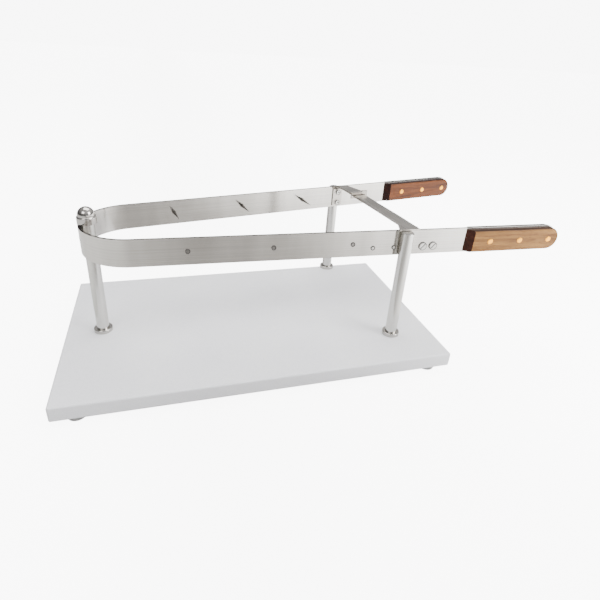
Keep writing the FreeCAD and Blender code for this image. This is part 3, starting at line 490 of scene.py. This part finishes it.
def painted_gap_shades():
    """Painted shade: a dark ring in the fine gap round each riveted end and screw head, and a dark strip on
    the floor of the leg screws' slots.
    """
    # Painted shade: a near-black, mottled material for the rings in the gaps and the strips in the slots.
    shader = Shader("shade_in_gap", Roughness=0.7, Metallic=0.3)
    shade_mottle = shader.noise(shader.coordinates(), scale=2500)
    gap_shade_paint = shader.drive(
        Base_Color=shader.ramp(shade_mottle, [(0.3, (0.035, 0.033, 0.03)), (0.7, (0.10, 0.095, 0.09))]))

    angle = CLAMP_TURN - SPLAY
    along = direction(angle)
    outward = -direction(angle + math.pi / 2)
    for node, ring in (("front_spikes", RIVET_RING), ("leg_rivets", RIVET_RING),
                       ("leg_screws", LEG_SCREW_RING)):
        for i, face in enumerate(outer_faces(node)):
            shade_in_gap = painted_shade_ring(f"{node}_crevice_{i}", face, along, outward, ring, gap_shade_paint)
            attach(shade_in_gap, "front_arm")
            if node == "leg_screws":
                floor_of_slot = slot_shade_strip(f"{node}_slot_{i}", face, along, outward, gap_shade_paint)
                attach(floor_of_slot, "front_arm")

    angle = CLAMP_TURN + SPLAY
    along = direction(angle)
    outward = -direction(angle + math.pi / 2)
    for i, face in enumerate(outer_faces("rear_post_screws")):
        name = f"rear_post_screws_crevice_{i}"
        shade_in_gap = painted_shade_ring(name, face, along, outward, POST_SCREW_RING, gap_shade_paint)
        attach(shade_in_gap, "base")


def outer_faces(node):
    """The middle of each solid's face towards the near edge."""
    return [Vector(((low.x + high.x) / 2, low.y, (low.z + high.z) / 2)) for low, high in solids(node)]


def painted_shade_ring(name, centre, along, outward, ring, material):
    """A flat dark ring of painted shade, with sloping rims, that stands a hair proud of the face it lies
    on.
    """
    inner, outer = ring
    section = ((outer, 0.0), (outer - RING_RIM, RING_RIM), (inner + RING_RIM, RING_RIM), (inner, 0.0))
    work = bmesh.new()
    rows = []
    for radius, rise in section:
        row = []
        for i in range(RING_STEPS):
            angle = 2 * math.pi * i / RING_STEPS
            spot = along * math.cos(angle) * radius + Vector((0, 0, math.sin(angle) * radius))
            row.append(work.verts.new(centre + spot + outward * rise))
        rows.append(row)
    for row_a, row_b in zip(rows, rows[1:] + rows[:1]):
        for i in range(RING_STEPS):
            j = (i + 1) % RING_STEPS
            work.faces.new((row_a[i], row_a[j], row_b[j], row_b[i]))
    return dark_shade_piece(name, work, material)


def slot_shade_strip(name, centre, along, outward, material):
    """Painted shade on the floor of a screw's slot: a low dark ridge that narrows to the head's rim."""
    slope = math.radians(SLOT_ANGLE)
    lengthwise = along * math.cos(slope) + Vector((0, 0, math.sin(slope)))
    crosswise = Vector((0, 0, math.cos(slope))) - along * math.sin(slope)
    work = bmesh.new()
    rows = []
    for side, rise in ((-1, 0.0), (-0.5, SLOT_SHADE_RISE), (0.5, SLOT_SHADE_RISE), (1, 0.0)):
        row = []
        for i in range(SLOT_STEPS + 1):
            share = 2 * i / SLOT_STEPS - 1
            spot = lengthwise * (share * SLOT_HALF_LENGTH)
            half = SLOT_HALF_WIDTH * (1 - SLOT_TAPER * share ** 4)
            row.append(work.verts.new(
                centre + spot + crosswise * side * half + outward * (rise - SLOT_FLOOR)))
        rows.append(row)
    for row_a, row_b in zip(rows, rows[1:] + rows[:1]):
        for i in range(SLOT_STEPS):
            work.faces.new((row_a[i], row_a[i + 1], row_b[i + 1], row_b[i]))
    for i in (0, SLOT_STEPS):
        work.faces.new([row[i] for row in rows])
    return dark_shade_piece(name, work, material)


def dark_shade_piece(name, work, material):
    """A smooth piece in the given material."""
    piece = smooth_piece(name, work, material)
    return piece


# ---------------------------------------------------------------- building the stage

def floor():
    """Wide paper, toned along X and lit by a bounce card; the camera itself sees it glow white."""
    mesh = bpy.data.meshes.new("floor")
    corners = ((-1, -1), (1, -1), (1, 1), (-1, 1))
    mesh.from_pydata([(x * FLOOR_HALF, y * FLOOR_HALF, 0) for x, y in corners], [], [(0, 1, 2, 3)])
    piece = bpy.data.objects.new("floor", mesh)
    bpy.context.collection.objects.link(piece)
    shader = Shader("floor_paper", Roughness=0.9, Specular_IOR_Level=0.1, Emission_Color=(*WHITE, 1))
    paper = shader.noise(shader.coordinates(), scale=40)
    across = shader.node("ShaderNodeSeparateXYZ", {"Vector": shader.coordinates()}).outputs["X"]
    reach = shader.span(across, 0, 1, start=-FLOOR_FADE, stop=FLOOR_FADE)
    fibre = shader.ramp(paper, [(0.3, (0.97, 0.97, 0.97)), (0.7, WHITE)])
    bounce = shader.span(shader.ramp(reach, BOUNCE), 0, BOUNCE_GLOW)
    seen = shader.node("ShaderNodeLightPath").outputs["Is Camera Ray"]
    mesh.materials.append(shader.drive(
        Base_Color=shader.multiply(shader.ramp(reach, FLOOR_TONES), fibre),
        Emission_Strength=shader.span(seen, bounce, FLOOR_GLOW)))


def studio_world():
    """Soft room, darker towards the horizon and at -X; plain white where the camera sees it."""
    world = bpy.data.worlds.new("studio")
    world.use_nodes = True
    room = Nodes(world.node_tree)
    found = room.node("ShaderNodeTexCoord").outputs["Generated"]
    way = room.node("ShaderNodeSeparateXYZ", {"Vector": found}).outputs
    lit = room.tree.nodes["Background"]
    room.feed(lit, {
        "Color": room.ramp(way["Z"], ROOM_TONES),
        "Strength": room.span(way["X"], *ROOM_SIDES, start=-1)})
    backdrop = room.node("ShaderNodeBackground", {"Color": (*WHITE, 1), "Strength": BACKDROP_GLOW})
    seen = room.node("ShaderNodeLightPath").outputs["Is Camera Ray"]
    mixed = room.node("ShaderNodeMixShader", {"Fac": seen, 1: lit.outputs[0], 2: backdrop.outputs[0]})
    room.feed(room.tree.nodes["World Output"], {"Surface": mixed.outputs[0]})
    bpy.context.scene.world = world


def lights():
    centre = middle("base_board")
    for name, place, aim, sides, power in SOFTBOXES:
        data = bpy.data.lights.new(name, "AREA")
        data.shape = "RECTANGLE"
        data.size, data.size_y = sides
        data.energy = power
        lamp = bpy.data.objects.new(name, data)
        bpy.context.collection.objects.link(lamp)
        stand = centre + Vector(place)
        lamp.location = stand
        look = centre + Vector(aim) - stand
        lamp.rotation_euler = look.to_track_quat("-Z", "Y").to_euler()


def camera():
    """Stands before the near edge: turned from +Y towards +X, looking down, a little rolled."""
    low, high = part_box("base_board")
    stand = flat((low + high) / 2, high.z) + Vector(CAMERA_STAND)
    level = math.cos(CAMERA_DOWN)
    forward = Vector((math.sin(CAMERA_TURN) * level, math.cos(CAMERA_TURN) * level, -math.sin(CAMERA_DOWN)))
    right = forward.cross(Vector((0, 0, 1))).normalized()
    up = right.cross(forward)
    rolled_right = right * math.cos(CAMERA_ROLL) + up * math.sin(CAMERA_ROLL)
    rolled_up = up * math.cos(CAMERA_ROLL) - right * math.sin(CAMERA_ROLL)
    data = bpy.data.cameras.new("camera")
    data.sensor_width = CAMERA_SENSOR
    data.lens = CAMERA_LENS
    data.shift_x, data.shift_y = CAMERA_SHIFT
    data.clip_start = CAMERA_NEAR
    eye = bpy.data.objects.new("camera", data)
    bpy.context.collection.objects.link(eye)
    axes = Matrix((rolled_right, rolled_up, -forward)).transposed()
    eye.matrix_world = Matrix.Translation(stand) @ axes.to_4x4()
    bpy.context.scene.camera = eye


dress_frame()
spring_band()
painted_gap_shades()
floor()
studio_world()
lights()
camera()
